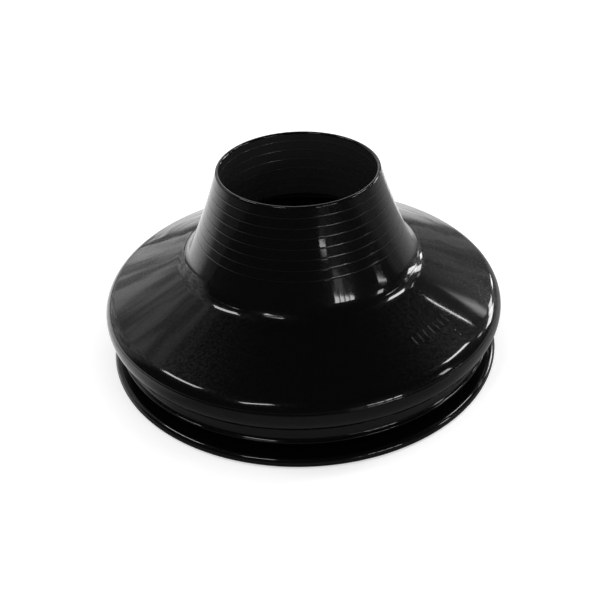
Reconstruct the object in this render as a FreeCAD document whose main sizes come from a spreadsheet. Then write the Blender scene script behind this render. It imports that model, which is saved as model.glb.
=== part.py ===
"""Drysuit neck seal, one moulding of soft rubber, as a parametric document.

A stepped foot docks in a suit ring, a shoulder slopes up to a cone, and the top of the cone
is turned in on itself, so that a sleeve hangs inside it.  Millimetres and degrees, +Z up, the
origin at the middle of the flat face that the seal stands on.
"""
import FreeCAD, Part
import Sketcher
import math
import os
from types import SimpleNamespace

NODE = "neck_seal"

# ---------------------------------------------------------------- driving dimensions
DRIVING = (
    ("overall_height", 116.0, "from the flat foot to the top of the turned rim"),
    ("bulge_radius", 115.0, "largest outer radius, at the middle of the round bulge"),
    ("bulge_round", 10.7, "section radius of the bulge"),
    ("bulge_height", 32.7, "height of the middle of the bulge"),
    ("bulge_wall", 4.0, "rubber thickness round the hollow bulge"),
    ("hollow_sides", 4, "number of flats round the hollow inside the bulge"),
    ("flange_set_back", 1.3, "how far the flange's edge lies inside the bulge"),
    ("flange_thickness", 5.7, "the flange's edge is a full half round"),
    ("slot_depth", 12.7, "how far the docking slot goes in from the flange edge"),
    ("slot_opening", 5.2, "height of the docking slot at its floor"),
    ("slot_wall", 3.8, "rubber thickness behind the slot floor"),
    ("slot_roof", 1.0, "how far the inner step starts above the slot"),
    ("cove_round", 2.9, "section radius of the cove between bulge and lip"),
    ("cove_depth", 7.4, "how far the cove's wall lies inside the bulge"),
    ("cove_height", 17.1, "height of the middle of the cove's round"),
    ("cove_end", 70.0, "how far round the cove its lip ends"),
    ("lip_edge", 0.5, "thickness of the lip's edge"),
    ("neck_curve", 315.0, "radius of the cone's slightly hollow line"),
    ("rim_slope", 16.2, "lean of the cone's wall at the rim"),
    ("base_slope", 25.5, "lean of the cone's wall where its fillet starts"),
    ("base_fillet", 15.6, "fillet between the cone and the shoulder"),
    ("rim_radius", 45.3, "outer radius of the turned rim"),
    ("fold_round", 1.1, "section radius of the turned rim"),
    ("rim_wall", 1.15, "thickness of the cone's wall near the rim"),
    ("base_wall", 2.0, "thickness of the cone's wall at its base"),
    ("shoulder_wall", 2.4, "thickness of the shoulder beside the cone"),
    ("sleeve_wall", 0.95, "thickness of the turned-in sleeve"),
    ("sleeve_depth", 40.0, "how far the sleeve hangs below the rim"),
    ("fold_gap_depth", 3.2, "where the gap between cone and sleeve starts, below the rim"),
    ("trim_first", 5.0, "from the rim to the first trim ring, along the wall"),
    ("trim_pitch", 5.55, "spacing of the cone's trim rings, along the wall"),
    ("trim_rings", 7, "number of trim rings on the cone"),
    ("sleeve_first", 5.3, "from the rim to the sleeve's first trim ring"),
    ("sleeve_pitch", 5.85, "spacing of the sleeve's trim rings"),
    ("sleeve_rings", 6, "number of trim rings on the sleeve"),
    ("ring_width", 1.3, "width of a ring at its root"),
    ("ring_root", 0.2, "how far a ring's root lies inside the wall"),
    ("ring_proud", 0.2, "how far a trim ring stands proud"),
    ("seam_proud", 0.15, "how far the fine seam ring stands proud"),
    ("seam_angle", 47.0, "where the seam ring lies, round the base fillet"),
    ("crease_angle", 26.0, "where the crease lies, round the bulge"),
    ("crease_depth", 0.4, "depth of the crease"),
)

doc = FreeCAD.newDocument("neck_seal_model")
sizes = doc.addObject("Spreadsheet::Sheet", "sizes")
for row, (name, value, note) in enumerate(DRIVING, start=1):
    sizes.set(f"A{row}", note)
    sizes.set(f"B{row}", str(value))
    sizes.setAlias(f"B{row}", name)
doc.recompute()
dim = SimpleNamespace(**{name: float(sizes.get(name)) for name, _, _ in DRIVING})

section = doc.addObject("Spreadsheet::Sheet", "section")
section_rows = []


def keep(name, value):
    """Write a worked-out number in the section sheet and return its expression."""
    section_rows.append(name)
    section.set(f"A{len(section_rows)}", f"{value:.9f}")
    section.setAlias(f"A{len(section_rows)}", name)
    return f"section.{name}"


def along(centre, reach, degrees):
    """The point at a reach and an angle from a centre, in the radius-height plane."""
    angle = math.radians(degrees)
    return (centre[0] + reach * math.cos(angle), centre[1] + reach * math.sin(angle))


# ---------------------------------------------------------------- circles of the outer line
flange_radius = dim.bulge_radius - dim.flange_set_back
flange_round = dim.flange_thickness / 2
flange_edge = flange_radius - flange_round
bulge_middle = (dim.bulge_radius - dim.bulge_round, dim.bulge_height)
cove_wall = dim.bulge_radius - dim.cove_depth
cove_middle = (cove_wall + dim.cove_round, dim.cove_height)
lip_top = along(cove_middle, dim.cove_round, 180.0 + dim.cove_end)
slot_floor = flange_radius - dim.slot_depth
slot_top = dim.flange_thickness + dim.slot_opening
fold_middle = (dim.rim_radius - dim.fold_round, dim.overall_height - dim.fold_round)
rim_tangent = along(fold_middle, dim.fold_round, dim.rim_slope)
neck_middle = along(rim_tangent, dim.neck_curve, dim.rim_slope)
neck_foot = along(neck_middle, -dim.neck_curve, dim.base_slope)
fillet_middle = along(neck_foot, dim.base_fillet, dim.base_slope)

# the shoulder is the straight line that touches both the fillet and the bulge
across = fillet_middle[0] - bulge_middle[0]
up = fillet_middle[1] - bulge_middle[1]
touch = math.acos((dim.base_fillet + dim.bulge_round) / math.hypot(across, up))
shoulder_normal = math.degrees(math.atan2(up, across) - touch)

# ---------------------------------------------------------------- circles of the inner line
inner_bulge_round = dim.bulge_round - dim.bulge_wall
inner_cove_wall = cove_wall - dim.bulge_wall
inner_foot_wall = slot_floor - dim.slot_wall
inner_step_low = slot_top + dim.slot_roof
inner_step_high = inner_step_low + inner_cove_wall - inner_foot_wall
sleeve_bore = dim.rim_radius - 2 * dim.fold_round
sleeve_outside = sleeve_bore + dim.sleeve_wall
sleeve_end = dim.overall_height - dim.sleeve_depth
gap_top = dim.overall_height - dim.fold_gap_depth

# the inside of the cone and of its fillet is straight on both sides of a middle corner
rim_reach = dim.neck_curve + dim.rim_wall
neck_reach = dim.neck_curve + dim.base_wall
gap_slope = math.degrees(math.asin((neck_middle[1] - gap_top) / rim_reach))
neck_bisector = (gap_slope + dim.base_slope) / 2
fillet_reach = dim.base_fillet + dim.base_wall
shoulder_reach = dim.base_fillet + dim.shoulder_wall
fillet_bisector = (dim.base_slope + shoulder_normal) / 2


def wall_angle(wall, reach):
    """The angle at which a circle round the bulge's middle meets an upright wall below it."""
    return -math.degrees(math.acos((wall - bulge_middle[0]) / reach))


def bulge_hollow():
    """Corners of the hollow inside the bulge, from the shoulder down to the cove's wall."""
    last_angle = wall_angle(inner_cove_wall, inner_bulge_round)
    step = (last_angle - shoulder_normal) / dim.hollow_sides
    corners = []
    for number in range(int(dim.hollow_sides) + 1):
        corner = along(bulge_middle, inner_bulge_round, shoulder_normal + number * step)
        corners.append((f"hollow_{number + 1}", corner, None))
    return corners


def neck_points():
    """Where the trim rings lie on the cone: its wall runs straight from ring to ring."""
    points = []
    for number in range(int(dim.trim_rings)):
        travel = dim.trim_first + number * dim.trim_pitch
        slope = dim.rim_slope + math.degrees(travel / dim.neck_curve)
        points.append((slope, along(neck_middle, -dim.neck_curve, slope)))
    return points


# ---------------------------------------------------------------- the closed outline
# each entry: the name of a corner, the corner, and what leads on from it to the next one:
# None for a straight line, or the radius of an arc and the side that its middle lies on
OUTLINE = (
    ("foot_inner", (inner_foot_wall, 0.0), None),
    ("foot_outer", (flange_edge, 0.0), (flange_round, "left")),
    ("flange_top", (flange_edge, dim.flange_thickness), None),
    ("slot_low", (slot_floor, dim.flange_thickness), None),
    ("slot_high", (slot_floor, slot_top), None),
    ("lip_under", (lip_top[0], lip_top[1] - dim.lip_edge), None),
    ("lip_top", lip_top, (dim.cove_round, "right")),
    ("cove_high", (cove_wall, cove_middle[1]), None),
    ("bulge_low", along(bulge_middle, dim.bulge_round, wall_angle(cove_wall, dim.bulge_round)),
     (dim.bulge_round, "left")),
    ("bulge_high", along(bulge_middle, dim.bulge_round, shoulder_normal), None),
    ("shoulder_top", along(fillet_middle, -dim.base_fillet, shoulder_normal), (dim.base_fillet, "right")),
    ("neck_foot", neck_foot, None),
    *reversed([(f"neck_{place}", point, None) for place, (_, point) in enumerate(neck_points(), start=1)]),
    ("rim_outer", rim_tangent, (dim.fold_round, "left")),
    ("rim_inner", (sleeve_bore, fold_middle[1]), None),
    ("sleeve_edge", (sleeve_bore, sleeve_end), None),
    ("sleeve_back", (sleeve_outside, sleeve_end), None),
    ("gap_sleeve", (sleeve_outside, gap_top), None),
    ("gap_neck", along(neck_middle, -rim_reach, gap_slope), None),
    ("inner_neck_middle", along(neck_middle, -(rim_reach + neck_reach) / 2, neck_bisector), None),
    ("inner_neck_foot", along(neck_middle, -neck_reach, dim.base_slope), None),
    ("inner_fillet", along(fillet_middle, -(fillet_reach + shoulder_reach) / 2, fillet_bisector), None),
    ("inner_shoulder", along(fillet_middle, -shoulder_reach, shoulder_normal), None),
    *bulge_hollow(),
    ("step_high", (inner_cove_wall, inner_step_high), None),
    ("step_low", (inner_foot_wall, inner_step_low), None),
)


def ring(name, foot, facing, proud):
    """The three corners of a small ring that stands on a wall, its tip facing outwards."""
    root = along(foot, -dim.ring_root, facing)
    return (
        (name + "_below", along(root, -dim.ring_width / 2, facing + 90.0), None),
        (name + "_tip", along(foot, proud, facing), None),
        (name + "_above", along(root, dim.ring_width / 2, facing + 90.0), None),
    )


def trim_rings():
    """Trim rings down the outside of the cone, evenly spaced along its wall."""
    rings = []
    for number, (slope, foot) in enumerate(neck_points(), start=1):
        rings.append(ring(f"trim_{number}", foot, slope, dim.ring_proud))
    return rings


def sleeve_rings():
    """Trim rings down the inside of the sleeve."""
    rings = []
    for number in range(int(dim.sleeve_rings)):
        height = dim.overall_height - dim.sleeve_first - number * dim.sleeve_pitch
        rings.append(ring(f"sleeve_{number + 1}", (sleeve_bore, height), 180.0, dim.ring_proud))
    return rings


def seam_ring():
    """The fine ring that the mould's parting leaves in the fillet under the cone."""
    foot = along(fillet_middle, -dim.base_fillet, dim.seam_angle)
    return ring("seam", foot, dim.seam_angle, dim.seam_proud)


def bulge_crease():
    """The fine crease round the top of the bulge, its tip facing into the rubber."""
    foot = along(bulge_middle, dim.bulge_round, dim.crease_angle)
    return ring("crease", foot, dim.crease_angle + 180.0, dim.crease_depth)


# ---------------------------------------------------------------- sketches and turned features
def new_sketch(body, name):
    """A sketch on the body's upright plane: across is the radius, up is the height."""
    plane = next(feature for feature in body.Origin.OriginFeatures if feature.Role == "XZ_Plane")
    sketch = body.newObject("Sketcher::SketchObject", name)
    sketch.AttachmentSupport = [(plane, "")]
    sketch.MapMode = "FlatFace"
    return sketch


def bind(sketch, kind, places, value, expression):
    """Add one measured constraint and tie it to a cell."""
    index = sketch.addConstraint(Sketcher.Constraint(kind, *places, value))
    sketch.setExpression(f"Constraints[{index}]", expression)


def add_line(sketch, first, last):
    """Draw a straight edge and return it with the numbers of its first and last ends."""
    segment = Part.LineSegment(FreeCAD.Vector(*first, 0), FreeCAD.Vector(*last, 0))
    return sketch.addGeometry(segment, False), 1, 2


def add_arc(sketch, first, last, radius, side):
    """Draw the short arc between two points, its middle to the left or to the right."""
    chord = math.dist(first, last)
    lift = math.sqrt(max(radius * radius - chord * chord / 4, 0.0))
    if side == "right":
        lift = -lift
    middle_x = (first[0] + last[0]) / 2 - (last[1] - first[1]) / chord * lift
    middle_y = (first[1] + last[1]) / 2 + (last[0] - first[0]) / chord * lift
    start = math.atan2(first[1] - middle_y, first[0] - middle_x)
    end = math.atan2(last[1] - middle_y, last[0] - middle_x)
    circle = Part.Circle(FreeCAD.Vector(middle_x, middle_y, 0), FreeCAD.Vector(0, 0, 1), radius)
    if side == "left":
        return sketch.addGeometry(Part.ArcOfCircle(circle, start, end), False), 1, 2
    return sketch.addGeometry(Part.ArcOfCircle(circle, end, start), False), 2, 1


def draw_outline(sketch, outline):
    """Draw a closed outline and hold every corner and radius by the section sheet."""
    edges = []
    for (name, point, leads), (_, after, _) in zip(outline, outline[1:] + outline[:1]):
        if leads is None:
            edges.append(add_line(sketch, point, after))
            continue
        edges.append(add_arc(sketch, point, after, *leads))
        if not math.isclose(math.dist(point, after), 2 * leads[0]):
            bind(sketch, "Radius", edges[-1][:1], leads[0], keep(name + "_round", leads[0]))
    for (edge, _, end), (following, start, _) in zip(edges, edges[1:] + edges[:1]):
        sketch.addConstraint(Sketcher.Constraint("Coincident", edge, end, following, start))
    for (name, point, _), (edge, start, _) in zip(outline, edges):
        bind(sketch, "DistanceX", (-1, 1, edge, start), point[0], keep(name + "_across", point[0]))
        if point[1] > 0.0:
            bind(sketch, "DistanceY", (-1, 1, edge, start), point[1], keep(name + "_up", point[1]))
        else:
            sketch.addConstraint(Sketcher.Constraint("PointOnObject", edge, start, -1))


def turn(body, kind, name, outlines):
    """Turn outlines about the upright axis, to add or to cut a ring."""
    sketch = new_sketch(body, name + "_section")
    for outline in outlines:
        draw_outline(sketch, outline)
    feature = body.newObject(kind, name)
    feature.Profile = sketch
    feature.ReferenceAxis = (sketch, ["V_Axis"])
    feature.Angle = 360.0
    sketch.Visibility = False
    doc.recompute()
    return feature


# ---------------------------------------------------------------- the moulding
seal = doc.addObject("PartDesign::Body", "seal")
seal.Label = NODE
seal.Placement = FreeCAD.Placement()

turn(seal, "PartDesign::Revolution", "wall", [OUTLINE])
turn(seal, "PartDesign::Revolution", "trim_rings", trim_rings())
turn(seal, "PartDesign::Revolution", "sleeve_rings", sleeve_rings())
seam = turn(seal, "PartDesign::Revolution", "seam_ring", [seam_ring()])
crease = turn(seal, "PartDesign::Groove", "bulge_crease", [bulge_crease()])

for thing in doc.Objects:
    if "Invalid" in thing.State or "Error" in thing.State:
        raise RuntimeError(f"{thing.Name} failed: {thing.State}")
if seal.Shape.isNull() or not seal.Shape.isValid():
    raise RuntimeError("the seal's shape is not valid")
if len(seal.Shape.Solids) != 1:
    raise RuntimeError("the seal is not one solid")
if crease.Shape.Volume >= seam.Shape.Volume:
    raise RuntimeError("the crease cut nothing")

os.makedirs("parts", exist_ok=True)
seal.Shape.exportStep(f"parts/{NODE}.step")
box = seal.Shape.optimalBoundingBox(False)
print(f"{NODE}: {box.XLength:.2f} x {box.YLength:.2f} x {box.ZLength:.2f} mm, "
      f"{seal.Shape.Volume / 1000:.1f} cm3, shoulder {90 - shoulder_normal:.1f} degrees")
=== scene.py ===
"""Drysuit neck seal: one glossy black moulding, with its raised strokes and pips, stage and lamps.

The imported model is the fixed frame.  Sizes are in metres, +Z is up, and the seal stands on z = 0.
"""
import math

import bmesh
import bpy
from mathutils import Matrix, Vector


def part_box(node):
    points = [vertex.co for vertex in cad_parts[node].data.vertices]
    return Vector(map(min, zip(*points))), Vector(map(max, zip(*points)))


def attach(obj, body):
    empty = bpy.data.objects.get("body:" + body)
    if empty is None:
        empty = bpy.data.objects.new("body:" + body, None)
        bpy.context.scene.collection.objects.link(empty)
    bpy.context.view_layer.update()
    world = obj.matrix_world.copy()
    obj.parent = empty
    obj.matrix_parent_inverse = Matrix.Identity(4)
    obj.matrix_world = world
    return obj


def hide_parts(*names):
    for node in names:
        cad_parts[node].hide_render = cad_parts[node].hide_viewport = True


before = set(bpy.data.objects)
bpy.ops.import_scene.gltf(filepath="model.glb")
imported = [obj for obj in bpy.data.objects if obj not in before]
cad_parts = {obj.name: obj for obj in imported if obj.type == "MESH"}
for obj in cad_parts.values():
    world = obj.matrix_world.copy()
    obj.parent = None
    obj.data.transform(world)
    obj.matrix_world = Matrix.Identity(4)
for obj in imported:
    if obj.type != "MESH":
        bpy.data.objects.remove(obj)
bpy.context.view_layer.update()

bl_info = {
    "name": "Drysuit Neck Seal",
    "version": (1, 0, 0),
    "blender": (4, 5, 0),
    "location": "3D View > Sidebar > Neck Seal",
    "description": "Builds a moulded rubber neck seal, its finish and a plain studio round it",
    "category": "Object",
}

NODE = "neck_seal"
LOW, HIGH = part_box(NODE)
MM = 0.001


# ------------------------------------------------------------------ sizes that a user would change
def length(name, millimetres, description):
    """A length property, its default given in millimetres."""
    return bpy.props.FloatProperty(
        name=name, description=description, default=millimetres * MM, unit="LENGTH")


def angle(name, degrees, description):
    """An angle property, its default given in degrees."""
    return bpy.props.FloatProperty(
        name=name, description=description, default=math.radians(degrees), unit="ROTATION")


def whole(name, number, description, least=1):
    """A whole-number property."""
    return bpy.props.IntProperty(name=name, description=description, default=number, min=least)


def fraction(name, part, description):
    """A property between nothing and one."""
    return bpy.props.FloatProperty(name=name, description=description, default=part, min=0.0, max=1.0)


def paint(name, red, green, blue, description):
    """A colour property."""
    return bpy.props.FloatVectorProperty(
        name=name, description=description, subtype="COLOR", size=4, default=(red, green, blue, 1.0))


class SealSizes(bpy.types.PropertyGroup):
    """Sizes of the seal's section and of what is raised on it."""
    bulge_radius: length("Bulge radius", (HIGH[0] - LOW[0]) / 2 / MM, "Largest radius of the seal")
    height: length("Height", (HIGH[2] - LOW[2]) / MM, "From the foot to the top of the turned rim")
    bulge_round: length("Bulge round", 10.7, "Section radius of the bulge")
    bulge_height: length("Bulge height", 32.7, "Height of the middle of the bulge")
    bulge_wall: length("Bulge wall", 4.0, "Rubber thickness round the hollow bulge")
    flange_set_back: length("Flange set-back", 1.3, "How far the flange's edge lies inside the bulge")
    flange_thickness: length("Flange thickness", 5.7, "The flange's edge is a full half round")
    slot_depth: length("Slot depth", 12.7, "From the flange's edge to the slot's floor")
    slot_opening: length("Slot opening", 5.2, "Height of the slot at its floor")
    slot_wall: length("Slot wall", 3.8, "Rubber thickness behind the slot's floor")
    cove_round: length("Cove round", 2.9, "Section radius of the cove under the bulge")
    cove_depth: length("Cove depth", 7.4, "How far the cove's wall lies inside the bulge")
    cove_height: length("Cove height", 17.1, "Height of the middle of the cove")
    cove_end: angle("Cove end", 70.0, "How far round the cove its lip ends")
    lip_edge: length("Lip edge", 0.5, "Thickness of the lip's edge")
    neck_curve: length("Neck curve", 315.0, "Radius of the cone's slightly hollow line")
    rim_slope: angle("Rim slope", 16.2, "Lean of the cone's wall at the rim")
    base_slope: angle("Base slope", 25.5, "Lean of the cone's wall at its fillet")
    base_fillet: length("Base fillet", 15.6, "Fillet between the cone and the shoulder")
    rim_radius: length("Rim radius", 45.3, "Outer radius of the turned rim")
    fold_round: length("Fold round", 1.1, "Section radius of the turned rim")
    neck_wall: length("Neck wall", 1.6, "Thickness of the cone's wall")
    shoulder_wall: length("Shoulder wall", 2.4, "Thickness of the shoulder")
    sleeve_wall: length("Sleeve wall", 0.95, "Thickness of the turned-in sleeve")
    sleeve_depth: length("Sleeve depth", 40.0, "How far the sleeve hangs below the rim")
    edge_round: length("Edge round", 0.35, "Small round that the mould leaves on each edge")
    segments: whole("Segments", 224, "Steps round the seal", least=48)
    trim_first: length("First trim ring", 5.0, "From the rim to the cone's first trim ring")
    trim_pitch: length("Trim ring pitch", 5.55, "Spacing of the cone's trim rings")
    trim_rings: whole("Trim rings", 7, "Trim rings on the cone")
    sleeve_first: length("First sleeve ring", 5.3, "From the rim to the sleeve's first ring")
    sleeve_pitch: length("Sleeve ring pitch", 5.85, "Spacing of the sleeve's rings")
    sleeve_rings: whole("Sleeve rings", 6, "Rings inside the sleeve")
    ring_width: length("Ring width", 0.8, "Width of a trim ring")
    ring_height: length("Ring height", 0.035, "How far a trim ring stands proud")
    sleeve_ring_height: length("Sleeve ring height", 0.15, "How far a ring inside the sleeve stands proud")
    seam_angle: angle("Seam angle", 47.0, "Where the mould's seam lies, round the base fillet")
    seam_height: length("Seam height", 0.05, "How far the seam stands proud")
    seam_width: length("Seam width", 0.9, "Width of the seam")
    crease_angle: angle("Crease angle", 26.0, "Where the crease lies, round the bulge")
    crease_depth: length("Crease depth", 0.06, "Depth of the crease")
    crease_width: length("Crease width", 1.0, "Width of the crease")
    ripple_height: length("Ripple height", 0.07, "Slow unevenness of the soft wall")
    ripple_size: length("Ripple size", 45.0, "Size of the slow unevenness")
    strokes: whole("Strokes", 7, "Raised strokes in the row")
    stroke_length: length("Stroke length", 6.4, "Length of a raised stroke, down the shoulder")
    stroke_width: length("Stroke width", 1.2, "Width of a raised stroke")
    stroke_height: length("Stroke height", 0.5, "How far a stroke stands proud")
    stroke_reach: length("Stroke reach", 93.0, "From the axis to the middle of the row")
    stroke_start: angle("Row start", 308.0, "Where the row of strokes starts, round the axis")
    stroke_step: angle("Stroke step", 2.7, "Angle from one stroke to the next")
    pips: whole("Pips", 2, "Small pips outside the row")
    pip_angle: angle("Pip angle", 323.0, "Where the pips lie, round the axis")
    pip_reach: length("Pip reach", 100.6, "From the axis to the first pip")
    pip_step: length("Pip step", 3.2, "From one pip to the next")
    pip_round: length("Pip round", 0.6, "Radius of a pip")
    pip_height: fraction("Pip height", 0.6, "Height of a pip, as a share of its radius")


class SealFinish(bpy.types.PropertyGroup):
    """Colour and gloss of the rubber."""
    rubber: paint("Rubber", 0.0012, 0.0012, 0.0013, "Colour of the rubber")
    sleeve: paint("Sleeve", 0.014, 0.014, 0.0143, "Colour of the duller sleeve inside the cone")
    mark: paint("Mark", 0.035, 0.035, 0.036, "Colour of the raised marks")
    gloss_roughness: fraction("Gloss roughness", 0.055, "Roughness of the moulded skin")
    bloom_roughness: fraction("Bloom roughness", 0.3, "Roughness of the soft flecked gloss over the skin")
    haze: fraction("Haze", 0.08, "Extra roughness of the duller patches")
    ring_haze: fraction("Ring haze", 0.25, "Extra roughness of the trim rings")
    sleeve_haze: fraction("Sleeve haze", 0.2, "Extra roughness of the sleeve")
    mark_haze: fraction("Mark haze", 0.2, "Extra roughness of the raised marks")
    wave_depth: length("Wave depth", 0.45, "Depth of the slow waves in the skin")
    grain_depth: length("Grain depth", 0.03, "Depth of the fine grain in the skin")


class StudioSizes(bpy.types.PropertyGroup):
    """The stage, its lamps and the camera."""
    floor_width: bpy.props.FloatProperty(
        name="Floor width", description="Side of the square floor", default=8.0, unit="LENGTH")
    lamp_distance: bpy.props.FloatProperty(
        name="Lamp distance", description="From the seal to each lamp", default=2.0, unit="LENGTH")
    plain_light: bpy.props.FloatProperty(
        name="Plain light", description="Even light from the room on matt surfaces", default=0.75, min=0.0)
    camera_lens: bpy.props.FloatProperty(
        name="Lens", description="Focal length of the camera", default=60.88, unit="CAMERA")
    camera_place: bpy.props.FloatVectorProperty(
        name="Camera place", description="Where the camera stands", subtype="TRANSLATION",
        default=(0.0, -0.49555, 0.36928))
    camera_turn: bpy.props.FloatVectorProperty(
        name="Camera turn", description="How the camera is turned", subtype="EULER",
        default=tuple(math.radians(turn) for turn in (55.414, 1.9395, -1.128)))


# ------------------------------------------------------------------ node trees written as expressions
class Wire:
    """An output socket that sums, products and the like turn into Math nodes."""

    def __init__(self, builder, socket):
        self.builder = builder
        self.socket = socket

    def math(self, operation, *others):
        """One Math node on this wire and others."""
        return self.builder.math(operation, self, *others)

    def __add__(self, other):
        return self.math("ADD", other)

    def __sub__(self, other):
        return self.math("SUBTRACT", other)

    def __rsub__(self, other):
        return self.builder.math("SUBTRACT", other, self)

    def __mul__(self, other):
        return self.math("MULTIPLY", other)

    def __truediv__(self, other):
        return self.math("DIVIDE", other)

    def __rtruediv__(self, other):
        return self.builder.math("DIVIDE", other, self)

    __radd__ = __add__
    __rmul__ = __mul__


class Builder:
    """Adds nodes to one tree."""

    def __init__(self, tree):
        self.tree = tree

    def add(self, kind, settings=None, inputs=None, output=0):
        """A node of a kind: its settings first, then the values or links of its sockets."""
        node = self.tree.nodes.new(kind)
        for name, value in (settings or {}).items():
            setattr(node, name, value)
        for name, value in (inputs or {}).items():
            if isinstance(value, Wire):
                self.tree.links.new(value.socket, node.inputs[name])
            else:
                node.inputs[name].default_value = value
        return Wire(self, node.outputs[output]) if node.outputs else node

    def math(self, operation, *values):
        """A Math node on wires and numbers."""
        return self.add("ShaderNodeMath", {"operation": operation}, dict(enumerate(values)))

    def spread(self, value, start, end, low=0.0, high=1.0, eased=False):
        """A value carried from one range to another and held at its ends, which may be eased."""
        settings = {"interpolation_type": "SMOOTHSTEP" if eased else "LINEAR"}
        return self.add("ShaderNodeMapRange", settings, {
            "Value": value, "From Min": start, "From Max": end, "To Min": low, "To Max": high})

    def noise(self, place, scale, detail, roughness, distortion=0.0):
        """A soft noise pattern over a place."""
        return self.add("ShaderNodeTexNoise", inputs={
            "Vector": place, "Scale": scale, "Detail": detail, "Roughness": roughness,
            "Distortion": distortion})

    def group_input(self, name):
        """One named input of the tree."""
        return self.add("NodeGroupInput", output=name)


def shader_builder(owner):
    """A builder on the emptied node tree of a material or a world."""
    owner.use_nodes = True
    owner.node_tree.nodes.clear()
    return Builder(owner.node_tree)


def geometry_tree(name, numbers, counts):
    """An empty Geometry Nodes tree with a geometry, the named inputs and a material."""
    tree = bpy.data.node_groups.new(name, "GeometryNodeTree")
    tree.interface.new_socket("Geometry", in_out="INPUT", socket_type="NodeSocketGeometry")
    inputs = (("NodeSocketFloat", numbers), ("NodeSocketInt", counts), ("NodeSocketMaterial", ("Material",)))
    for socket_type, names in inputs:
        for socket_name in names:
            tree.interface.new_socket(socket_name, in_out="INPUT", socket_type=socket_type)
    tree.interface.new_socket("Geometry", in_out="OUTPUT", socket_type="NodeSocketGeometry")
    return tree


def finish_tree(builder, geometry):
    """End a tree in real geometry that carries its material."""
    real = builder.add("GeometryNodeRealizeInstances", inputs={"Geometry": geometry})
    coated = builder.add("GeometryNodeSetMaterial", inputs={
        "Geometry": real, "Material": builder.group_input("Material")})
    builder.add("NodeGroupOutput", inputs={"Geometry": coated})


def placed(name, data):
    """A new object of a mesh, lamp or camera, linked to the scene."""
    item = bpy.data.objects.new(name, data)
    bpy.context.scene.collection.objects.link(item)
    return item


def grow(name, base_mesh, tree, values):
    """Run a tree on a mesh with its named inputs set, and keep the result as a plain object."""
    seed = placed(name + "_seed", base_mesh)
    modifier = seed.modifiers.new(tree.name, "NODES")
    modifier.node_group = tree
    for item in tree.interface.items_tree:
        if item.in_out == "INPUT" and item.name in values:
            modifier[item.identifier] = values[item.name]
    evaluated = seed.evaluated_get(bpy.context.evaluated_depsgraph_get())
    mesh = bpy.data.meshes.new_from_object(evaluated)
    mesh.name = name
    bpy.data.objects.remove(seed)
    return placed(name, mesh)


# ------------------------------------------------------------------ the section of the wall
OFF_RUN = -1.0  # the distance that a point stores for a run that it isn't on
BEAD_ROWS = (-0.9, -0.55, -0.36, -0.18, 0.0, 0.18, 0.36, 0.55, 0.9)  # rows across a bead, in widths

# how finely curves are stepped
ROUND_STEPS = 4
HALF_MARK_STEPS = 4
FLANGE_STEPS = 22
COVE_STEPS = 12
BULGE_STEPS = 46
FILLET_STEPS = 16
CONE_STEPS = 16
FOLD_STEPS = 12
SLEEVE_STEPS = 10
INNER_CONE_STEPS = 12
INNER_FILLET_STEPS = 8
HOLLOW_STEPS = 18

# where rows lie on straight stretches and on the cone
LONGEST_ROW = 4.0 * MM
ROW_BESIDE_END = 0.5 * MM
ROW_BESIDE_RIM = 0.4 * MM

# small angles, in radians, that arcs leave free beside their neighbours
COVE_CLEAR = 0.06
BULGE_CLEAR = 0.03
FOLD_CLEAR = 0.2
INNER_CONE_CLEAR = 0.013
INNER_FILLET_CLEAR = 0.1

# proportions of small details
ROUND_SHARE = 0.45  # most of a side that a corner's round may take
THIN_ROUND = 0.4  # round on a thin edge, as a share of its thickness
CONE_WALL_SHARE = 0.8  # share of the neck's wall that the inner line of the cone keeps
GAP_TOP = 3.0  # top of the gap between cone and sleeve, in fold rounds below the rim
GAP_ROUND = 0.1 * MM
STEP_RISE = 3.0  # rise of the inner step above the slot, in edge rounds


def along(centre, reach, turn):
    """The point at a reach and an angle from a centre, as radius and height."""
    return (centre[0] + reach * math.cos(turn), centre[1] + reach * math.sin(turn))


def bead_travels(first, pitch, count, width):
    """Distances along a wall that outline each of its beads."""
    return [first + number * pitch + share * width for number in range(count) for share in BEAD_ROWS]


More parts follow.
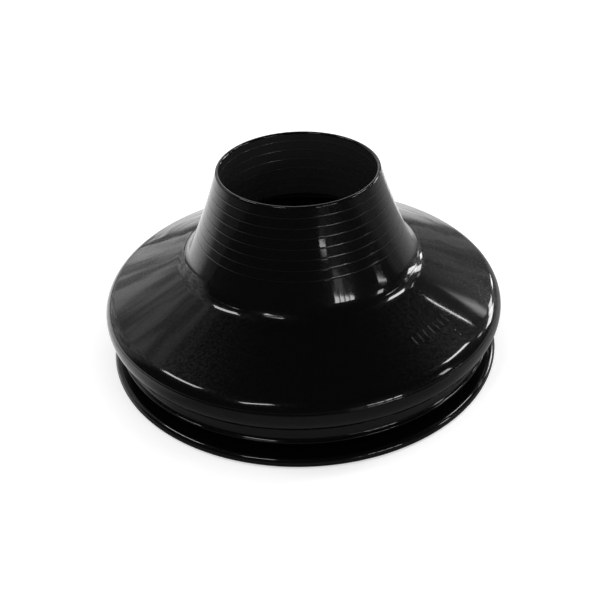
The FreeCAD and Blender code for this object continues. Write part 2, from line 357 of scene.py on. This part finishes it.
class Section:
    """The closed line of a wall: corners with small rounds, arcs, and runs that carry beads."""

    def __init__(self):
        self.items = []

    def corner(self, radius, height, soften=0.0):
        """A corner, rounded if soften is more than nothing."""
        self.items.append(("corner", (radius, height), soften))

    def arc(self, centre, reach, start, end, steps, mark=None):
        """Evenly spaced points round a centre, with a mark that swells or narrows the arc at one place."""
        turns = [start + (end - start) * step / steps for step in range(steps + 1)]
        if mark is None:
            points = [along(centre, reach, turn) for turn in turns]
        else:
            middle, rise, half = mark
            across = range(-HALF_MARK_STEPS, HALF_MARK_STEPS + 1)
            turns += [middle + half * step / HALF_MARK_STEPS for step in across]
            turns.sort(reverse=start > end)
            swell = [rise * max(0.0, 1.0 - ((turn - middle) / half) ** 2) ** 2 for turn in turns]
            points = [along(centre, reach + more, turn) for turn, more in zip(turns, swell)]
        self.items.append(("points", [point + (OFF_RUN, OFF_RUN) for point in points], 0.0))

    def run(self, points):
        """Points that carry their distance along the cone or the sleeve."""
        self.items.append(("points", points, 0.0))

    def closed(self):
        """The whole line, with rows beside each end of a straight stretch and no gap longer than allowed."""
        line = []
        for place, (kind, data, soften) in enumerate(self.items):
            if kind == "points":
                line += data
                continue
            before_kind, before, _ = self.items[place - 1]
            after_kind, after, _ = self.items[(place + 1) % len(self.items)]
            before = Vector(before if before_kind == "corner" else before[-1][:2])
            after = Vector(after if after_kind == "corner" else after[0][:2])
            for point in round_off(before, Vector(data), after, soften):
                line.append(tuple(point) + (OFF_RUN, OFF_RUN))
        rows = []
        for first, last in zip(line, line[1:] + line[:1]):
            rows.append(first)
            gap = math.dist(first[:2], last[:2])
            if gap <= LONGEST_ROW:
                continue
            beside = ROW_BESIDE_END / gap
            inner = max(1, math.ceil(gap / LONGEST_ROW) - 1)
            shares = [beside] + [step / (inner + 1) for step in range(1, inner + 1)] + [1.0 - beside]
            for share in shares:
                point = tuple(near + (far - near) * share for near, far in zip(first[:2], last[:2]))
                rows.append(point + (OFF_RUN, OFF_RUN))
        return rows


def round_off(before, corner, after, radius):
    """Points of a small round that replaces a corner."""
    if radius <= 0.0:
        return [corner]
    back = (before - corner).normalized()
    on = (after - corner).normalized()
    half = back.angle(on) / 2
    longest = ROUND_SHARE * min((before - corner).length, (after - corner).length)
    reach = min(radius / math.tan(half), longest)
    radius = reach * math.tan(half)
    centre = corner + (back + on).normalized() * math.hypot(reach, radius)
    start = corner + back * reach - centre
    end = corner + on * reach - centre
    sweep = start.angle_signed(end)
    turns = [sweep * step / ROUND_STEPS for step in range(ROUND_STEPS + 1)]
    return [centre + Matrix.Rotation(-turn, 2) @ start for turn in turns]


def seal_section(sizes):
    """The seal's closed section as rows of radius, height and the runs that carry beads."""
    flange_round = sizes.flange_thickness / 2
    flange_edge = sizes.bulge_radius - sizes.flange_set_back - flange_round
    slot_floor = flange_edge + flange_round - sizes.slot_depth
    slot_top = sizes.flange_thickness + sizes.slot_opening
    bulge = (sizes.bulge_radius - sizes.bulge_round, sizes.bulge_height)
    cove_wall = sizes.bulge_radius - sizes.cove_depth
    cove = (cove_wall + sizes.cove_round, sizes.cove_height)
    lip_turn = math.pi + sizes.cove_end
    lip = along(cove, sizes.cove_round, lip_turn)
    fold = (sizes.rim_radius - sizes.fold_round, sizes.height - sizes.fold_round)
    neck = along(along(fold, sizes.fold_round, sizes.rim_slope), sizes.neck_curve, sizes.rim_slope)
    fillet = along(neck, -sizes.neck_curve, sizes.base_slope)
    fillet = along(fillet, sizes.base_fillet, sizes.base_slope)
    across, up = fillet[0] - bulge[0], fillet[1] - bulge[1]
    apart = math.hypot(across, up)
    shoulder = math.atan2(up, across) - math.acos((sizes.base_fillet + sizes.bulge_round) / apart)
    bulge_foot = -math.acos((cove_wall - bulge[0]) / sizes.bulge_round)
    bore = sizes.rim_radius - 2 * sizes.fold_round
    hollow_round = sizes.bulge_round - sizes.bulge_wall
    hollow_wall = cove_wall - sizes.bulge_wall
    hollow_foot = -math.acos((hollow_wall - bulge[0]) / hollow_round)
    foot_wall = slot_floor - sizes.slot_wall
    step = slot_top + sizes.edge_round * STEP_RISE

    neck_length = (sizes.base_slope - sizes.rim_slope) * sizes.neck_curve
    cone_travels = bead_travels(sizes.trim_first, sizes.trim_pitch, sizes.trim_rings, sizes.ring_width)
    cone_travels += [neck_length * part / CONE_STEPS for part in range(CONE_STEPS + 1)] + [ROW_BESIDE_RIM]
    hanging = sizes.sleeve_depth - sizes.fold_round - sizes.edge_round
    sleeve_travels = bead_travels(
        sizes.sleeve_first, sizes.sleeve_pitch, sizes.sleeve_rings, sizes.ring_width)
    sleeve_travels += [sizes.fold_round + hanging * part / SLEEVE_STEPS for part in range(SLEEVE_STEPS + 1)]

    line = Section()
    line.corner(foot_wall, 0.0, sizes.edge_round)
    line.arc((flange_edge, flange_round), flange_round, -math.pi / 2, math.pi / 2, FLANGE_STEPS)
    line.corner(slot_floor, sizes.flange_thickness, sizes.edge_round)
    line.corner(slot_floor, slot_top, sizes.edge_round)
    line.corner(lip[0], lip[1] - sizes.lip_edge, sizes.lip_edge * THIN_ROUND)
    line.arc(cove, sizes.cove_round, lip_turn - COVE_CLEAR, math.pi, COVE_STEPS)
    crease = (sizes.crease_angle, -sizes.crease_depth, sizes.crease_width / sizes.bulge_round / 2)
    line.arc(bulge, sizes.bulge_round, bulge_foot + BULGE_CLEAR, shoulder, BULGE_STEPS, crease)
    seam = (sizes.seam_angle + math.pi, -sizes.seam_height, sizes.seam_width / sizes.base_fillet / 2)
    line.arc(fillet, sizes.base_fillet, shoulder + math.pi, sizes.base_slope + math.pi, FILLET_STEPS, seam)
    # the fillet has already reached the longest travel
    for travel in sorted(set(cone_travels), reverse=True)[1:]:
        turn = sizes.rim_slope + travel / sizes.neck_curve
        line.run([along(neck, -sizes.neck_curve, turn) + (travel, OFF_RUN)])
    line.arc(fold, sizes.fold_round, sizes.rim_slope + FOLD_CLEAR, math.pi - FOLD_CLEAR, FOLD_STEPS)
    line.run([(bore, sizes.height - travel, OFF_RUN, travel) for travel in sorted(set(sleeve_travels))])
    line.corner(bore, sizes.height - sizes.sleeve_depth, sizes.sleeve_wall * THIN_ROUND)
    line.corner(bore + sizes.sleeve_wall, sizes.height - sizes.sleeve_depth, sizes.sleeve_wall * THIN_ROUND)
    line.corner(bore + sizes.sleeve_wall, sizes.height - GAP_TOP * sizes.fold_round, GAP_ROUND)
    inner_curve = sizes.neck_curve + sizes.neck_wall * CONE_WALL_SHARE
    line.arc(neck, -inner_curve, sizes.rim_slope + INNER_CONE_CLEAR, sizes.base_slope, INNER_CONE_STEPS)
    inner_fillet = sizes.base_fillet + sizes.shoulder_wall
    line.arc(fillet, -inner_fillet, sizes.base_slope + INNER_FILLET_CLEAR, shoulder, INNER_FILLET_STEPS)
    line.arc(bulge, hollow_round, shoulder, hollow_foot, HOLLOW_STEPS)
    line.corner(hollow_wall, step + hollow_wall - foot_wall, sizes.edge_round)
    line.corner(foot_wall, step, sizes.edge_round)
    return line.closed()


def shoulder_at(sizes, reach):
    """The shoulder's slope, and its height at a distance from the axis."""
    rows = [row[:2] for row in seal_section(sizes)]
    pairs = [
        (outer, inner) for outer, inner in zip(rows, rows[1:])
        if inner[0] < reach <= outer[0] and outer[1] > sizes.bulge_height]
    outer, inner = max(pairs, key=lambda pair: pair[0][1])
    slope = math.atan2(inner[1] - outer[1], outer[0] - inner[0])
    return slope, outer[1] + (outer[0] - reach) * math.tan(slope)


# ------------------------------------------------------------------ the shapes
# proportions of a raised bar
BAR_END = 0.45  # round of its ends, as a share of its width
BAR_EDGE = 0.9  # round of its top edge, as a share of the largest that fits
BAR_STEPS = 4
NEAR_TOP = 0.01  # how far below the top an edge still counts as the rim's, as a share of the height


def turned_mesh(name, rows, segments):
    """Turn a closed section about the upright axis into one closed skin."""
    mesh = bpy.data.meshes.new(name)
    points = []
    for segment in range(segments):
        turn = 2 * math.pi * segment / segments
        points += [(row[0] * math.cos(turn), row[0] * math.sin(turn), row[1]) for row in rows]
    count = len(rows)
    faces = []
    for segment in range(segments):
        here, there = segment * count, (segment + 1) % segments * count
        for row in range(count):
            after = (row + 1) % count
            faces.append((here + row, there + row, there + after, here + after))
    mesh.from_pydata(points, [], faces)
    for place, attribute in ((2, "cone_run"), (3, "sleeve_run")):
        layer = mesh.attributes.new(attribute, "FLOAT", "POINT")
        layer.data.foreach_set("value", [row[place] for row in rows] * segments)
    mesh.polygons.foreach_set("use_smooth", [True] * len(faces))
    mesh.validate()
    return mesh


def smooth_mesh(name, shape):
    """A smooth mesh of a worked shape, which is then let go."""
    mesh = bpy.data.meshes.new(name)
    shape.to_mesh(mesh)
    shape.free()
    mesh.polygons.foreach_set("use_smooth", [True] * len(mesh.polygons))
    return mesh


def rounded_bar(long_side, short_side, height):
    """A low raised bar with rounded ends and edges, its root just under the surface."""
    shape = bmesh.new()
    bmesh.ops.create_cube(shape, size=1.0)
    bmesh.ops.scale(shape, vec=(long_side, short_side, height * 2), verts=shape.verts)
    upright = [edge for edge in shape.edges if abs(edge.verts[0].co.z - edge.verts[1].co.z) > height]
    bmesh.ops.bevel(shape, geom=upright, offset=short_side * BAR_END, segments=BAR_STEPS, affect="EDGES")
    top = max(vert.co.z for vert in shape.verts)
    rim = [edge for edge in shape.edges if min(vert.co.z for vert in edge.verts) > top - height * NEAR_TOP]
    edge_round = min(height, short_side / 2) * BAR_EDGE
    bmesh.ops.bevel(shape, geom=rim, offset=edge_round, segments=BAR_STEPS, affect="EDGES")
    bmesh.ops.recalc_face_normals(shape, faces=shape.faces)
    return smooth_mesh("stroke", shape)


def stored_run(builder, attribute):
    """The distance along a run that each point stores, read in either kind of tree."""
    if builder.tree.type == "GEOMETRY":
        return builder.add(
            "GeometryNodeInputNamedAttribute", {"data_type": "FLOAT"}, {"Name": attribute}, "Attribute")
    return builder.add("ShaderNodeAttribute", {"attribute_name": attribute}, output="Fac")


def bead_rise(builder, attribute, first, pitch, count, width):
    """One on the middle of each evenly spaced bead along a run, and nothing beside it."""
    run = stored_run(builder, attribute)
    number = ((run - first) / pitch).math("ROUND").math("MAXIMUM", 0.0).math("MINIMUM", count - 1.0)
    away = (run - first - number * pitch).math("ABSOLUTE")
    return builder.spread(away, start=width * 0.5, end=0.0, eased=True)


def wall_tree():
    """Raises the trim rings and the slow unevenness of a soft moulding."""
    tree = geometry_tree(
        "neck_seal_wall",
        ("Trim first", "Trim pitch", "Sleeve first", "Sleeve pitch", "Ring width", "Ring height",
         "Sleeve ring height", "Ripple height", "Ripple size"),
        ("Trim rings", "Sleeve rings"))
    nodes = Builder(tree)
    given = nodes.group_input
    width = given("Ring width")
    trim = bead_rise(
        nodes, "cone_run", given("Trim first"), given("Trim pitch"), given("Trim rings"), width)
    inside = bead_rise(
        nodes, "sleeve_run", given("Sleeve first"), given("Sleeve pitch"), given("Sleeve rings"), width)
    ripple = nodes.add("ShaderNodeTexNoise", inputs={
        "Scale": 1.0 / given("Ripple size"), "Detail": 1.0, "Roughness": 0.4})
    raised = given("Ring height") * trim + given("Sleeve ring height") * inside
    raised = raised + (ripple - 0.5) * given("Ripple height")
    normal = nodes.add("GeometryNodeInputNormal")
    offset = nodes.add("ShaderNodeVectorMath", {"operation": "SCALE"}, {0: normal, "Scale": raised})
    finish_tree(nodes, nodes.add("GeometryNodeSetPosition", inputs={
        "Geometry": given("Geometry"), "Offset": offset}))
    return tree


def stroke_tree():
    """Repeats one raised stroke round the shoulder."""
    tree = geometry_tree("raised_strokes", ("Reach", "Height", "Slope", "Start", "Step"), ("Count",))
    nodes = Builder(tree)
    given = nodes.group_input
    turn = nodes.add("GeometryNodeInputIndex") * given("Step") + given("Start")
    reach = given("Reach")
    place = nodes.add("ShaderNodeCombineXYZ", inputs={
        "X": reach * turn.math("COSINE"), "Y": reach * turn.math("SINE"), "Z": given("Height")})
    points = nodes.add("GeometryNodePoints", inputs={"Count": given("Count"), "Position": place})
    lean = nodes.add("ShaderNodeCombineXYZ", inputs={"Y": given("Slope"), "Z": turn})
    rows = nodes.add("GeometryNodeInstanceOnPoints", inputs={
        "Points": points, "Instance": given("Geometry"), "Rotation": lean})
    finish_tree(nodes, rows)
    return tree


# ------------------------------------------------------------------ the rubber
SKIN_IOR = 1.43
BLOOM_IOR = 1.28
RING_SPREAD = 1.3  # width of a trim ring's dull band, in ring widths
SLEEVE_START = 0.1 * MM  # a point that stores more than this lies on the sleeve

# a Mix node's colour sockets, which share their names with its other sockets
MIX_FIRST, MIX_SECOND, MIX_RESULT = 6, 7, 2


def silicone(name, context, colour, dulled=0.0):
    """Glossy black silicone with slightly uneven gloss, fine grain and slow waves in its skin."""
    finish = context.scene.neck_seal_finish
    sizes = context.scene.neck_seal_sizes
    material = bpy.data.materials.new(name)
    nodes = shader_builder(material)
    place = nodes.add("ShaderNodeTexCoord", output="Object")

    # the front of the skin is nearly calm, and the back is wavy, patchy and grained
    backward = nodes.add("ShaderNodeSeparateXYZ", inputs={"Vector": place}, output="Y")
    wavy = nodes.spread(backward, start=-10.0 * MM, end=60.0 * MM, low=0.03, high=1.0)
    waves = nodes.noise(place, scale=42.0, detail=1.0, roughness=0.4, distortion=0.8)
    slow = nodes.add("ShaderNodeBump", inputs={
        "Strength": 1.0, "Distance": finish.wave_depth, "Height": waves * wavy})
    grain = nodes.noise(place, scale=1400.0, detail=2.0, roughness=0.6)
    skin = nodes.add("ShaderNodeBump", inputs={
        "Strength": 0.35, "Distance": finish.grain_depth, "Height": grain * wavy, "Normal": slow})

    # the sleeve, the trim rings and slow patches are duller than the rest
    patches = nodes.noise(place, scale=38.0, detail=3.0, roughness=0.6)
    patches = nodes.spread(patches, start=0.45, end=0.72)
    rings = bead_rise(
        nodes, "cone_run", sizes.trim_first, sizes.trim_pitch, sizes.trim_rings,
        sizes.ring_width * RING_SPREAD)
    sleeve = stored_run(nodes, "sleeve_run").math("GREATER_THAN", SLEEVE_START)
    rubber = nodes.add("ShaderNodeMix", {"data_type": "RGBA"}, {
        "Factor": sleeve, MIX_FIRST: tuple(colour), MIX_SECOND: tuple(finish.sleeve)}, MIX_RESULT)
    dull = patches * wavy * finish.haze + sleeve * finish.sleeve_haze + rings * finish.ring_haze

    fleck = nodes.noise(place, scale=700.0, detail=3.0, roughness=0.7)
    fleck = nodes.spread(fleck, start=0.4, end=0.62, low=0.1, high=0.5)
    shader = nodes.add("ShaderNodeBsdfPrincipled", inputs={
        "Base Color": rubber, "Roughness": dull + (finish.gloss_roughness + dulled), "IOR": SKIN_IOR,
        "Coat Weight": fleck, "Coat IOR": BLOOM_IOR, "Coat Roughness": finish.bloom_roughness,
        "Normal": skin})
    nodes.add("ShaderNodeOutputMaterial", inputs={"Surface": shader})
    return material


def rubber_material(context):
    """The rubber, made once."""
    name = "black_silicone"
    return bpy.data.materials.get(name) or silicone(name, context, context.scene.neck_seal_finish.rubber)


def mark_material(context):
    """The rubber of the raised marks, paler and duller, made once."""
    name = "etched_silicone"
    finish = context.scene.neck_seal_finish
    return bpy.data.materials.get(name) or silicone(name, context, finish.mark, finish.mark_haze)


# ------------------------------------------------------------------ operators
class NECKSEAL_OT_wall(bpy.types.Operator):
    """Turn the section about the upright axis and raise its trim rings"""
    bl_idname = "neck_seal.wall"
    bl_label = "Wall"

    def execute(self, context):
        sizes = context.scene.neck_seal_sizes
        mesh = turned_mesh("seal_wall_section", seal_section(sizes), sizes.segments)
        wall = grow("seal_wall", mesh, wall_tree(), {
            "Trim first": sizes.trim_first, "Trim pitch": sizes.trim_pitch, "Trim rings": sizes.trim_rings,
            "Sleeve first": sizes.sleeve_first, "Sleeve pitch": sizes.sleeve_pitch,
            "Sleeve rings": sizes.sleeve_rings,
            "Ring width": sizes.ring_width, "Ring height": sizes.ring_height,
            "Sleeve ring height": sizes.sleeve_ring_height,
            "Ripple height": sizes.ripple_height, "Ripple size": sizes.ripple_size,
            "Material": rubber_material(context)})
        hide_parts(NODE)
        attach(wall, "root")
        return {"FINISHED"}


class NECKSEAL_OT_strokes(bpy.types.Operator):
    """Raise a plain row of strokes on the shoulder"""
    bl_idname = "neck_seal.strokes"
    bl_label = "Raised Strokes"

    def execute(self, context):
        sizes = context.scene.neck_seal_sizes
        slope, height = shoulder_at(sizes, sizes.stroke_reach)
        stroke = rounded_bar(sizes.stroke_length, sizes.stroke_width, sizes.stroke_height)
        row = grow("raised_strokes", stroke, stroke_tree(), {
            "Count": sizes.strokes, "Reach": sizes.stroke_reach, "Height": height, "Slope": slope,
            "Start": sizes.stroke_start, "Step": sizes.stroke_step, "Material": mark_material(context)})
        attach(row, "root")
        return {"FINISHED"}


class NECKSEAL_OT_pips(bpy.types.Operator):
    """Raise the small pips outside the row of strokes"""
    bl_idname = "neck_seal.pips"
    bl_label = "Pips"

    def execute(self, context):
        sizes = context.scene.neck_seal_sizes
        shape = bmesh.new()
        for number in range(sizes.pips):
            reach = sizes.pip_reach + number * sizes.pip_step
            slope, height = shoulder_at(sizes, reach)
            turn = Matrix.Rotation(sizes.pip_angle, 4, "Z") @ Matrix.Translation((reach, 0.0, height))
            flat = Matrix.Rotation(slope, 4, "Y") @ Matrix.Diagonal((1.0, 1.0, sizes.pip_height, 1.0))
            bmesh.ops.create_uvsphere(
                shape, u_segments=20, v_segments=12, radius=sizes.pip_round, matrix=turn @ flat)
        pips = placed("pips", smooth_mesh("pips", shape))
        pips.data.materials.append(mark_material(context))
        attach(pips, "root")
        return {"FINISHED"}


# ------------------------------------------------------------------ the stage
# where each lamp stands, seen from the seal: azimuth, elevation, width, height and turn in degrees,
# and then its brightness
LAMPS = (
    ("left_high", 173.0, 51.6, 17.0, 5.6, 30.0, 13.0),
    ("left_slanted", 236.0, 52.0, 15.0, 4.0, 48.0, 14.0),
    ("front_pane_1", 302.0, 15.4, 3.9, 3.4, 0.0, 14.0),
    ("front_pane_2", 306.8, 15.2, 3.5, 3.8, 0.0, 14.0),
    ("front_pane_3", 311.6, 15.1, 3.5, 4.1, 0.0, 14.0),
    ("front_pane_4", 316.4, 14.8, 3.9, 4.6, 0.0, 14.0),
    ("front_blind", 305.5, 11.6, 8.0, 2.2, 0.0, 0.9),
    ("front_low", 294.2, 8.5, 6.4, 0.8, 0.0, 10.0),
    ("front_low_glow", 295.0, 8.9, 5.0, 2.0, 0.0, 0.8),
    ("front_sill", 300.0, 5.0, 14.0, 10.0, 0.0, 0.08),
    ("right_pane", 347.0, 19.0, 6.0, 9.0, 0.0, 9.0),
    ("right_low", 351.0, 4.4, 9.0, 0.4, -11.0, 11.0),
    ("right_low_glow", 349.0, 5.0, 6.0, 0.25, -11.0, 4.0),
    ("right_back_low", 31.0, 12.0, 14.0, 9.0, 25.0, 11.0),
    ("right_back_middle", 40.0, 19.5, 10.0, 6.5, 25.0, 10.0),
    ("right_back_side", 49.5, 10.0, 4.0, 6.0, 25.0, 9.0),
    ("right_back_step", 20.5, 21.0, 3.0, 5.0, 0.0, 6.0),
    ("right_back_glow", 41.5, 28.0, 2.0, 2.0, 0.0, 1.6),
    ("right_back_halo", 41.7, 28.0, 3.6, 3.4, 0.0, 1.3),
    ("right_back_veil", 42.0, 28.0, 5.0, 4.6, 0.0, 0.4),
    ("right_back_high", 18.5, 42.0, 14.0, 6.2, -30.0, 17.0),
    ("right_back_edge", 37.4, 36.4, 4.6, 0.3, 70.0, 28.0),
)

# the pale walls of the room, seen from the seal: azimuth, elevation, full width and faded width in
# degrees, and then their brightness
WALLS = (
    (122.0, 12.0, 58.0, 102.0, 0.56),
    (62.0, 0.0, 36.0, 78.0, 0.28),
    (90.0, 20.0, 16.0, 44.0, 0.9),
    (124.0, 0.0, 30.0, 64.0, 0.35),
)

# the painted light pools of a lit table, which the floor shows only in the gloss, seen from the seal:
# azimuth in degrees, the cosines at which a side is faded and full, and then its brightness
PAINTED_TABLE_GLOW = (
    (145.0, 0.2, 0.88, 1.1),
    (30.0, 0.25, 0.92, 0.27),
    (68.0, 0.965, 0.985, 0.8),
    (270.0, -1.0, 1.0, 0.05),
)

LAMP_AIM = Vector((0.0, 0.0, 50.0 * MM))  # the point that every lamp faces
FLOOR_LEVEL = 0.82  # colour of the floor
MIRRORED_LEVEL = 0.14  # colour of the floor in the gloss, where the painted glow of a lit table is added


def direction(azimuth, elevation):
    """The unit vector towards an azimuth and an elevation in degrees."""
    turn, rise = math.radians(azimuth), math.radians(elevation)
    return Vector((math.cos(turn) * math.cos(rise), math.sin(turn) * math.cos(rise), math.sin(rise)))


def facing(builder, towards, azimuth, elevation):
    """How squarely a direction faces an azimuth and an elevation, as the cosine between them."""
    return builder.add("ShaderNodeVectorMath", {"operation": "DOT_PRODUCT"}, {
        0: towards, 1: direction(azimuth, elevation)}, "Value")


def light_masks(builder):
    """Masks of what the eye sees, directly or through glass, and of what a gloss mirrors."""
    camera = builder.add("ShaderNodeLightPath", output="Is Camera Ray")
    glass = builder.add("ShaderNodeLightPath", output="Is Transmission Ray")
    mirrored = builder.add("ShaderNodeLightPath", output="Is Glossy Ray")
    return camera + glass, mirrored


def add_lamp(name, azimuth, elevation, width, height, turn, brightness, distance):
    """A soft box that faces the seal and is as bright to look at, whatever its size."""
    towards = direction(azimuth, elevation)
    lamp = bpy.data.lights.new(name, "AREA")
    lamp.shape = "RECTANGLE"
    lamp.size = 2 * distance * math.tan(math.radians(width / 2))
    lamp.size_y = 2 * distance * math.tan(math.radians(height / 2))
    lamp.energy = brightness * math.pi * lamp.size * lamp.size_y
    face = towards.to_track_quat("Z", "Y").to_matrix().to_4x4()
    face = face @ Matrix.Rotation(math.radians(turn), 4, "Z")
    stand = placed(name, lamp)
    stand.matrix_world = Matrix.Translation(LAMP_AIM + towards * distance) @ face
    stand.visible_camera = False


def floor_material():
    """A pale floor: white to the eye, and in the gloss a painted glow of a small lit table that is brightest
    behind the seal.
    """
    material = bpy.data.materials.new("pale_floor")
    nodes = shader_builder(material)
    seen, mirrored = light_masks(nodes)
    place = nodes.add("ShaderNodeTexCoord", output="Object")
    outward = nodes.add("ShaderNodeVectorMath", {"operation": "NORMALIZE"}, {0: place})
    reach = nodes.add("ShaderNodeVectorMath", {"operation": "LENGTH"}, {0: place}, "Value")
    glow = 0.0
    for azimuth, faded, full, brightness in PAINTED_TABLE_GLOW:
        side = facing(nodes, outward, azimuth, 0.0)
        glow = glow + nodes.spread(side, start=faded, end=full, high=brightness, eased=True)
    # the painted glow of the table fades with distance, and a painted shadow takes it away under the seal
    table = nodes.spread(reach, start=0.9, end=0.3, eased=True)
    clear = nodes.spread(reach, start=0.112, end=0.122, eased=True)
    # what the lamps and the room lack to make the floor white
    white = nodes.spread(reach, start=0.25, end=1.2, low=0.4, high=0.5, eased=True)
    # the emission is the white that the eye sees, plus the painted reflection of a lit table that only the
    # gloss sees
    shader = nodes.add("ShaderNodeBsdfPrincipled", inputs={
        "Base Color": FLOOR_LEVEL - mirrored * (FLOOR_LEVEL - MIRRORED_LEVEL),
        "Roughness": 0.6, "Specular IOR Level": 0.0,
        "Emission Color": seen * white + mirrored * table * clear * glow, "Emission Strength": 1.0})
    nodes.add("ShaderNodeOutputMaterial", inputs={"Surface": shader})
    return material


def pale_world(world, plain_light):
    """White to the eye, an even light on matt surfaces, and in the gloss a dim room with pale walls."""
    nodes = shader_builder(world)
    seen, mirrored = light_masks(nodes)
    towards = nodes.add("ShaderNodeTexCoord", output="Generated")
    upward = nodes.add("ShaderNodeSeparateXYZ", inputs={"Vector": towards}, output="Z")
    room = nodes.spread(upward, start=0.0, end=0.8, low=0.04, high=0.012)
    uneven = nodes.noise(towards, scale=7.0, detail=3.0, roughness=0.6, distortion=1.5)
    uneven = nodes.spread(uneven, start=0.42, end=0.58, low=0.5, high=1.3)
    for azimuth, elevation, full, faded, brightness in WALLS:
        start, end = (math.cos(math.radians(width / 2)) for width in (faded, full))
        side = facing(nodes, towards, azimuth, elevation)
        room = room + nodes.spread(side, start, end, high=brightness, eased=True) * uneven
    lit = mirrored * room + (1.0 - mirrored) * plain_light
    background = nodes.add("ShaderNodeBackground", inputs={
        "Color": (1.0, 1.0, 1.0, 1.0), "Strength": seen.math("MAXIMUM", lit)})
    nodes.add("ShaderNodeOutputWorld", inputs={"Surface": background})


class NECKSEAL_OT_studio(bpy.types.Operator):
    """Lay the pale floor, stand the lamps and set the camera"""
    bl_idname = "neck_seal.studio"
    bl_label = "Studio"

    def execute(self, context):
        scene = context.scene
        sizes = scene.neck_seal_studio
        half = sizes.floor_width / 2
        corners = [(x * half, y * half, LOW[2]) for x, y in ((-1, -1), (1, -1), (1, 1), (-1, 1))]
        floor_mesh = bpy.data.meshes.new("floor")
        floor_mesh.from_pydata(corners, [], [(0, 1, 2, 3)])
        floor_mesh.materials.append(floor_material())
        placed("floor", floor_mesh)
        for lamp in LAMPS:
            add_lamp(*lamp, sizes.lamp_distance)
        scene.world = scene.world or bpy.data.worlds.new("room")
        pale_world(scene.world, sizes.plain_light)
        camera = bpy.data.cameras.new("camera")
        camera.lens = sizes.camera_lens
        camera.sensor_width = 36.0
        camera.clip_start = 0.01
        stand = placed("camera", camera)
        stand.location = sizes.camera_place
        stand.rotation_euler = sizes.camera_turn
        scene.camera = stand
        scene.view_settings.view_transform = "Standard"
        return {"FINISHED"}


class NECKSEAL_PT_sidebar(bpy.types.Panel):
    """Buttons and sizes of the neck seal"""
    bl_label = "Neck Seal"
    bl_idname = "NECKSEAL_PT_sidebar"
    bl_space_type = "VIEW_3D"
    bl_region_type = "UI"
    bl_category = "Neck Seal"

    def draw(self, context):
        for operator in OPERATORS:
            self.layout.operator(operator.bl_idname)
        for settings in SETTINGS:
            group = getattr(context.scene, settings)
            column = self.layout.column(align=True)
            for name in group.__annotations__:
                column.prop(group, name)


OPERATORS = (NECKSEAL_OT_wall, NECKSEAL_OT_strokes, NECKSEAL_OT_pips, NECKSEAL_OT_studio)
SETTINGS = {
    "neck_seal_sizes": SealSizes,
    "neck_seal_finish": SealFinish,
    "neck_seal_studio": StudioSizes,
}
CLASSES = tuple(SETTINGS.values()) + OPERATORS + (NECKSEAL_PT_sidebar,)


def register():
    """Make the classes and their settings known."""
    for item in CLASSES:
        bpy.utils.register_class(item)
    for name, group in SETTINGS.items():
        setattr(bpy.types.Scene, name, bpy.props.PointerProperty(type=group))


def unregister():
    """Take the settings and the classes away."""
    for name in SETTINGS:
        delattr(bpy.types.Scene, name)
    for item in reversed(CLASSES):
        bpy.utils.unregister_class(item)


def main():
    """Build the seal and its studio."""
    register()
    bpy.ops.neck_seal.wall()
    bpy.ops.neck_seal.strokes()
    bpy.ops.neck_seal.pips()
    bpy.ops.neck_seal.studio()


if __name__ == "__main__":
    main()
